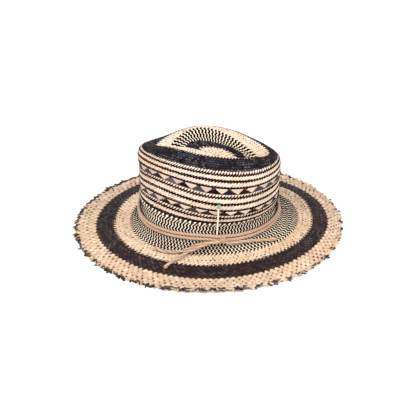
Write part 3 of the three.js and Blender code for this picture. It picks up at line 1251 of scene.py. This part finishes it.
def smooth_path(points: np.ndarray, step: float) -> np.ndarray:
    """A smooth line through points, as a centripetal spline, with even steps.

    Args:
        points: the points that it passes, in millimetres.
        step: about how far apart the new points are.

    Returns:
        The new points.
    """
    before = 2 * points[0] - points[1]
    after = 2 * points[-1] - points[-2]
    given = np.vstack([before, points, after])
    knots = np.concatenate([[0], np.cumsum(np.linalg.norm(np.diff(given, axis=0), axis=1) ** 0.5)])
    fine: list[np.ndarray] = []
    for index in range(1, len(given) - 2):
        t0, t1, t2, t3 = knots[index - 1 : index + 3]
        p0, p1, p2, p3 = given[index - 1 : index + 3]
        t = np.linspace(t1, t2, SPLINE_STEPS, endpoint=False)[:, None]
        a1 = between(t, t0, t1, p0, p1)
        a2 = between(t, t1, t2, p1, p2)
        a3 = between(t, t2, t3, p2, p3)
        b1 = between(t, t0, t2, a1, a2)
        b2 = between(t, t1, t3, a2, a3)
        fine.append(between(t, t1, t2, b1, b2))
    line = np.vstack([*fine, points[-1:]])
    run = run_along(line)
    even = np.linspace(0, run[-1], max(4, round(run[-1] / step) + 1))
    return np.stack([np.interp(even, run, line[:, axis]) for axis in range(3)], axis=1)


@dataclass
class Twine:
    """The twine: strands of plant fibre that lie almost straight along it."""

    form: StrawForm
    finish: bpy.types.Material
    radius: float = 2.4
    strands: int = 3
    groove: float = 0.30
    roundness: float = 0.7
    wobble: float = 0.03
    turn_per_mm: float = -0.36
    steps_round: int = 30
    step: float = 1.4

    def length_of(
        self,
        name: str,
        path: np.ndarray,
        slim: Callable[[np.ndarray], np.ndarray],
        tip: float = 0.0,
        start: float = 0.0,
        looseness: float = 0.0,
    ) -> bpy.types.Object:
        """One length of twine along a path.

        Args:
            name: the piece's name.
            path: its middle line, in millimetres, in even steps.
            slim: how thick the twine is at each share of its length, where 1 is its full thickness.
            tip: how many millimetres of its far end are stained dark.
            start: how far its strands have turned at its near end, in radians.
            looseness: how far its strands have untwisted, from 0 to 1.

        Returns:
            The piece.
        """
        count = len(path)
        mesh = bmesh.new()
        bmesh.ops.create_grid(mesh, x_segments=self.steps_round, y_segments=count - 1, size=0.5)
        flat = np.array([vert.co[:] for vert in mesh.verts]) + 0.5
        place = np.clip(np.rint(flat[:, 1] * (count - 1)).astype(int), 0, count - 1)
        round_turn = flat[:, 0] * TURN

        ahead = np.gradient(path, axis=0)
        ahead /= np.linalg.norm(ahead, axis=1, keepdims=True)
        side = np.zeros_like(path)
        side[0] = np.cross(ahead[0], [0.0, 0.0, 1.0])
        side[0] /= np.linalg.norm(side[0])
        for index in range(1, count):
            carried = side[index - 1] - ahead[index] * np.dot(side[index - 1], ahead[index])
            side[index] = carried / np.linalg.norm(carried)
        above = np.cross(side, ahead)

        shares = np.linspace(0, 1, count)
        run = shares * run_along(path)[-1]
        sizes = slim(shares) * self.radius
        twist = run * self.turn_per_mm * (1 - looseness) + start
        lobes = np.abs(np.sin(self.strands / 2 * (round_turn - twist[place]))) ** self.roundness
        waves = np.sin(run[place] * 0.21 + start) + 2 / 3 * np.sin(run[place] * 0.53 + 2 * round_turn)
        reach = sizes[place] * (1 - self.groove * (1 - lobes) + self.wobble * waves)
        spots = path[place] + side[place] * (reach * np.cos(round_turn))[:, None]
        spots = (spots + above[place] * (reach * np.sin(round_turn))[:, None]) * MM
        stain = np.clip(1 - (run[-1] - run[place]) / max(tip, TINY), 0, 1) * bool(tip)

        tone = mesh.verts.layers.float.new(TONE)
        crest = mesh.verts.layers.float.new(CREST)
        run_map = mesh.loops.layers.uv.new(RUN_MAP)
        unrolled = (round_turn - twist[place]) / TURN
        for vert, spot, share, height in zip(mesh.verts, spots, stain, lobes):
            vert.co = spot
            vert[tone] = share
            vert[crest] = height
        mesh.verts.index_update()
        for face in mesh.faces:
            for loop in face.loops:
                index = loop.vert.index
                loop[run_map].uv = (run[place[index]] * MM, unrolled[index])
        bmesh.ops.remove_doubles(mesh, verts=mesh.verts, dist=1e-7)
        open_edges = [edge for edge in mesh.edges if len(edge.link_faces) == 1]
        capped = bmesh.ops.holes_fill(mesh, edges=open_edges, sides=0)
        bmesh.ops.poke(mesh, faces=capped["faces"])
        bmesh.ops.recalc_face_normals(mesh, faces=mesh.faces)
        return piece_of(name, mesh, self.finish)

    def along(self, waypoints: Sequence[Waypoint]) -> np.ndarray:
        """The middle line of a tail through its waypoints, in millimetres."""
        spots = np.array([self.form.spot(point.angle, point.row, point.lift) for point in waypoints])
        return smooth_path(spots, self.step)


def near(angles: np.ndarray, middle: float, width: float) -> np.ndarray:
    """How near some angles are to one angle, in degrees: 1 there, and close to 0 past two widths."""
    away = (angles - middle + 180) % 360 - 180
    return np.exp(-((away / width) ** 2))


@dataclass
class TwineTurns:
    """The two turns of twine round the foot of the crown."""

    form: StrawForm
    twine: Twine
    knot_angle: float = 285.3
    foot_angle: float = 282.3
    lift: float = 2.9
    taut_lift: float = 2.2
    taut_size: float = 0.86
    taut_shift: float = 0.2
    loose_width: float = 34.0
    bulge_width: float = 7.0
    closing: float = 0.02
    upper_rows: tuple[float, float] = (64.6, 63.3)
    lower_rows: tuple[float, float] = (66.75, 65.45)
    upper_bulge: float = 3.0
    lower_bulge: float = 1.2
    lower_start: float = 1.3
    steps: int = 90

    def _looseness(self, angles: np.ndarray) -> np.ndarray:
        """How loose the turns are at some angles: 1 at the knot and 0 at the hat's sides and back."""
        return near(angles, self.knot_angle, self.loose_width)

    def _turn(self, start_row: float, end_row: float, bulge: float, shift: float) -> np.ndarray:
        """The middle line of one turn, which closes behind the knot.

        Args:
            start_row: the woven row that it lies on where it leaves the knot.
            end_row: the row that it lies on where it comes back.
            bulge: how far it stands out over the foot of the match, in millimetres.
            shift: how many rows outwards it lies where it is taut.

        Returns:
            Its points, in millimetres.
        """
        angles = np.linspace(self.knot_angle, self.knot_angle + 360, self.steps + 1)
        loose = self._looseness(angles)
        share = np.linspace(0, 1, len(angles))
        eased = share - np.sin(share * TURN) / TURN
        close = np.exp(-((np.minimum(share, 1 - share) / self.closing) ** 2))
        rows = start_row + (end_row - start_row) * eased
        rows = rows * (1 - close) + (start_row + end_row) / 2 * close + shift * (1 - loose)
        lifts = self.taut_lift + (self.lift - self.taut_lift) * loose
        lifts = lifts + bulge * near(angles, self.foot_angle, self.bulge_width)
        spots = [self.form.spot(*place) for place in zip(angles, rows, lifts)]
        return smooth_path(np.array(spots), self.twine.step)

    def build(self) -> None:
        """Makes the upper and the lower turn."""

        def pulled(shares: np.ndarray) -> np.ndarray:
            """The turns are pulled thin where they are taut."""
            loose = self._looseness(self.knot_angle + shares * 360)
            return self.taut_size + (1 - self.taut_size) * loose

        for name, path, start in (
            ("turn_upper", self._turn(*self.upper_rows, self.upper_bulge, self.taut_shift), 0.0),
            (
                "turn_lower",
                self._turn(*self.lower_rows, self.lower_bulge, -self.taut_shift),
                self.lower_start,
            ),
        ):
            turn = self.twine.length_of(f"twine_{name}", path, pulled, start=start)
            mount(turn, "twine", f"cord_{name}")


@dataclass
class TwineTails:
    """The three loose ends of the twine."""

    twine: Twine
    start: float = 0.7
    looseness: float = 0.6
    rounding: float = 2.5
    swell: float = 0.16
    swell_place: float = 3.5

    def _tail(self, name: str, waypoints: Sequence[Waypoint], tip: float) -> None:
        """Makes one tail and says what it is.

        Args:
            name: what its piece's name and its frame node's name end with.
            waypoints: where it lies.
            tip: how much of its far end is stained, in millimetres.
        """
        path = self.twine.along(waypoints)
        length = run_along(path)[-1]

        def worn(shares: np.ndarray) -> np.ndarray:
            """The last few millimetres swell a little and round off."""
            left = (1 - shares) * length
            swell = self.swell * np.exp(-(((left - self.swell_place) / self.rounding) ** 2))
            return 0.5 + 0.5 * np.clip(left / self.rounding, 0, 1) ** 0.5 + swell

        tail = self.twine.length_of(f"twine_{name}", path, worn, tip, self.start, self.looseness)
        mount(tail, "twine", f"cord_{name}")
        2 * self.twine.radius * MM
        log.info("%s is %.1f mm long", name, length)

    def build(self) -> None:
        """Makes the three tails."""
        self._tail("tail_front", TAIL_FRONT, tip=3.0)
        self._tail("tail_loop", TAIL_LOOP, tip=4.0)
        self._tail("tail_back", TAIL_BACK, tip=0.0)


@dataclass
class TwineKnot:
    """The knot: short wraps of twine side by side, over both turns and the tails."""

    form: StrawForm
    twine: Twine
    angle: float = 285.3
    row: float = 66.2
    lift: float = 5.2
    wraps: tuple[float, ...] = (-2.5, -0.1, 2.3)
    thickness: float = 0.50
    reach: float = 3.6
    height: float = 4.2
    tilt: float = 0.5
    more_tilt: float = 0.25
    wrap_half: float = 2.1
    wrap_steps: int = 9
    wrap_step: float = 0.8
    joint_step: float = 1.0
    joint_drop: float = 2.2
    joint_looseness: float = 0.6

    def _spot(self, across: float, out: float, up: float) -> np.ndarray:
        """A point near the knot.

        Args:
            across: millimetres towards the back of the hat.
            out: millimetres out from the knot's middle.
            up: millimetres up the crown's wall.

        Returns:
            The point, in millimetres.
        """
        share = self.form.share_at(self.angle, self.row)
        middle = self.form.lifted(share, self.row, self.lift)
        outward = self.form.facing(share, self.row)
        ahead = self.form.lifted(share + 0.002, self.row, self.lift) - middle
        ahead /= np.linalg.norm(ahead)
        upward = np.cross(outward, ahead)
        if upward[2] < 0:
            upward = -upward
        return middle + across * ahead + out * outward + up * upward

    def build(self) -> None:
        """Makes the wraps and the short lengths that join the tails to them."""

        def thin(shares: np.ndarray) -> np.ndarray:
            """The wraps are pulled thin."""
            return np.full_like(shares, self.thickness)

        turns = np.linspace(-self.wrap_half, self.wrap_half, self.wrap_steps)
        for number, across in enumerate(self.wraps):
            tilt = self.tilt + self.more_tilt * number
            arc = [
                self._spot(across + tilt * up, self.height * out, self.reach * up)
                for up, out in zip(np.sin(turns), np.cos(turns))
            ]
            path = smooth_path(np.array(arc), self.wrap_step)
            wrap = self.twine.length_of(f"twine_knot_wrap_{number + 1}", path, thin)
            mount(wrap, "twine", *(["cord_knot"] if number == 0 else []))
        for name, waypoints, side in (
            ("twine_joint_front", TAIL_FRONT, -1.0),
            ("twine_joint_loop", TAIL_LOOP, -1.5),
            ("twine_joint_back", TAIL_BACK, 1.0),
        ):
            start = self.twine.along(waypoints)
            inner = self._spot(side, 0.0, -self.joint_drop)
            spots = np.array([inner, (inner + start[0]) / 2, start[0], start[2]])
            path = smooth_path(spots, self.joint_step)
            joint = self.twine.length_of(name, path, np.ones_like, looseness=self.joint_looseness)
            mount(joint, "twine")


# The match


@dataclass
class Match:
    """A match that leans on the crown with its foot behind the upper turn of twine."""

    form: StrawForm
    wood: bpy.types.Material
    crust: bpy.types.Material
    side: float = 2.2
    head_radius: float = 2.1
    head_length: float = 6.6
    gap: float = 0.3
    cuts: int = 11
    softening: float = 0.22
    ripple: float = 0.035
    lump: float = 0.03
    fuller_top: float = 0.10
    foot: Waypoint = Waypoint(282.3, 64.1, 2.1)
    tip: Waypoint = Waypoint(283, 47.2, 3.7)

    def _placing(self) -> tuple[Matrix, float]:
        """Where the match stands.

        Returns:
            The move from upright at the origin to its place, in millimetres, and the stick's length.
        """
        foot, tip = (
            Vector(self.form.spot(end.angle, end.row, end.lift)) for end in (self.foot, self.tip)
        )
        along = tip - foot
        turn = Vector((0, 0, 1)).rotation_difference(along.normalized()).to_matrix().to_4x4()
        return Matrix.Translation(foot) @ turn, along.length

    def build(self) -> None:
        """Makes the stick and the head."""
        placing, length = self._placing()
        scaled = Matrix.Scale(MM, 4) @ placing
        mesh = bmesh.new()
        bmesh.ops.create_cube(mesh, size=1.0)
        bmesh.ops.scale(mesh, vec=Vector((self.side, self.side, length)), verts=mesh.verts)
        bmesh.ops.translate(mesh, vec=Vector((0, 0, length / 2)), verts=mesh.verts)
        upright = [edge for edge in mesh.edges if abs(edge.verts[0].co.z - edge.verts[1].co.z) > 1]
        bmesh.ops.subdivide_edges(mesh, edges=upright, cuts=self.cuts)
        for vert in mesh.verts:
            waves = math.sin(vert.co.z * 0.9 + vert.co.x) + 4 / 7 * math.sin(vert.co.z * 2.3)
            ripple = 1 + self.ripple * waves
            vert.co.x *= ripple
            vert.co.y *= 2 - ripple
        sharp = [edge for edge in mesh.edges if edge.calc_face_angle(0) > 1.0]
        bmesh.ops.bevel(
            mesh, geom=sharp, offset=self.softening, offset_type="OFFSET", segments=2, profile=0.5,
            affect="EDGES", material=-1,
        )
        bmesh.ops.transform(mesh, matrix=scaled, verts=mesh.verts)
        stick = piece_of("match_wooden_stick", mesh, self.wood)
        mount(stick, "match_wood", "match_stick")

        mesh = bmesh.new()
        bmesh.ops.create_icosphere(mesh, subdivisions=4, radius=1.0)
        centre = length + self.gap + self.head_length / 2
        for vert in mesh.verts:
            x, y, z = vert.co
            lump = 1 + self.lump * math.sin(x * 7 + 1) * math.sin(y * 6) * math.cos(z * 5)
            radius = self.head_radius * (1 + self.fuller_top * z) * lump
            vert.co.x *= radius
            vert.co.y *= radius
            vert.co.z = vert.co.z * self.head_length / 2 + centre
        bmesh.ops.transform(mesh, matrix=scaled, verts=mesh.verts)
        head = piece_of("match_green_head", mesh, self.crust)
        mount(head, "match_head", "match_head")


# The scene


@dataclass(frozen=True)
class Lamp:
    """A soft square lamp: where it hangs and how wide it is, in metres, and its strength in watts."""

    name: str
    spot: tuple[float, float, float]
    size: float
    watts: float

    def hang(self, aim: tuple[float, float, float]) -> None:
        """Hangs the lamp, turned towards the point that it lights."""
        data = bpy.data.lights.new(self.name, "AREA")
        data.shape = "SQUARE"
        data.size = self.size
        data.energy = self.watts
        lamp = bpy.data.objects.new(self.name, data)
        lamp.location = self.spot
        lamp.rotation_euler = (Vector(aim) - Vector(self.spot)).to_track_quat("-Z", "Y").to_euler()
        bpy.context.scene.collection.objects.link(lamp)


@dataclass
class Studio:
    """The floor, the light and the camera: eye and target are in millimetres, the rest in metres."""

    eye: tuple[float, float, float] = (90.836, -1128.319, 755.591)
    target: tuple[float, float, float] = (3.399, 0.2, 43.174)
    right: tuple[float, float, float] = (0.99781, 0.0607, -0.02643)
    lens: float = 79.38
    sensor: float = 36.0
    shift: tuple[float, float] = (-0.0034, -0.0236)
    lit: tuple[float, float, float] = (0.0, 0.0, 0.05)
    lamps: tuple[Lamp, ...] = (
        Lamp("key", (-0.8, -1.0, 1.8), 1.1, 36),
        Lamp("fill", (1.6, -0.9, 1.1), 1.4, 24),
    )
    sky: float = 0.75
    floor_half: float = 6.0

    def camera(self) -> None:
        """Sets the camera at the viewing angle of the photograph."""
        eye = Vector(self.eye)
        back = (eye - Vector(self.target)).normalized()
        right = Vector(self.right)
        right = (right - back * right.dot(back)).normalized()
        up = back.cross(right)
        data = bpy.data.cameras.new("view")
        data.lens = self.lens
        data.sensor_width = self.sensor
        data.shift_x, data.shift_y = self.shift
        data.clip_start = 0.01
        data.clip_end = 20.0
        camera = bpy.data.objects.new("view", data)
        turn = Matrix((right, up, back)).transposed().to_4x4()
        camera.matrix_world = Matrix.Translation(eye * MM) @ turn
        bpy.context.scene.collection.objects.link(camera)
        bpy.context.scene.camera = camera

    def floor(self) -> None:
        """Lays the floor."""
        mesh = bmesh.new()
        bmesh.ops.create_grid(mesh, x_segments=8, y_segments=8, size=self.floor_half)
        piece_of("floor", mesh, FloorFinish().material())

    def light(self) -> None:
        """Lights the scene softly all round, most from the upper left."""
        world = bpy.data.worlds.new("studio")
        world.use_nodes = True
        sky = world.node_tree.nodes["Background"].inputs
        sky["Color"].default_value = (1.0, 1.0, 1.0, 1.0)
        sky["Strength"].default_value = self.sky
        bpy.context.scene.world = world
        for lamp in self.lamps:
            lamp.hang(self.lit)
        bpy.context.scene.view_settings.view_transform = "Standard"


def main() -> None:
    """Builds the hat and its scene."""
    logging.basicConfig(level=logging.INFO, format="%(message)s")
    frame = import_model()
    log.info("the frame has %d nodes", len(frame["nodes"]))
    studio = Studio()
    studio.camera()

    form = StrawForm()
    twine = Twine(form, TwineFinish().material())
    TwineTails(twine).build()
    TwineTurns(form, twine).build()
    TwineKnot(form, twine).build()

    straw = {finish.name: finish.material() for finish in STRAW_FINISHES}
    # The crown's black straw, with its painted glints.
    black_with_painted_glints = straw["crown_black_straw"]
    Backing(form, BackingFinish().material()).build()
    weave = Weave(form)
    for name, zones, natural, black in (
        ("crown_top", CROWN_TOP, "crown_top_straw", "crown_black_straw"),
        ("dent_zigzag", DENT_ZIGZAG, "zigzag_straw", "deep_black_straw"),
        ("crown_wall", CROWN_WALL, "crown_wall_straw", "deep_black_straw"),
        ("wall_zigzag", WALL_ZIGZAG, "zigzag_straw", "deep_black_straw"),
        ("brim_zigzag", BRIM_ZIGZAG, "zigzag_straw", "deep_black_straw"),
        ("brim", BRIM, "brim_straw", "brim_black_straw"),
    ):
        weave.lay(name, zones, straw[natural], straw[black])
    folded = straw["folded_straw"]
    for name, top, bottom, count, phase, seed in FOLDED_BANDS:
        FoldedTriangles(form, folded, black_with_painted_glints, name, top, bottom, count, phase, seed).build()
    FrayedEdge(form, straw["brim_straw"], straw["brim_black_straw"]).build()
    Match(form, WoodFinish().material(), MatchHeadFinish().material()).build()

    studio.floor()
    studio.light()
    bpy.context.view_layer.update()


if __name__ == "__main__":
    main()
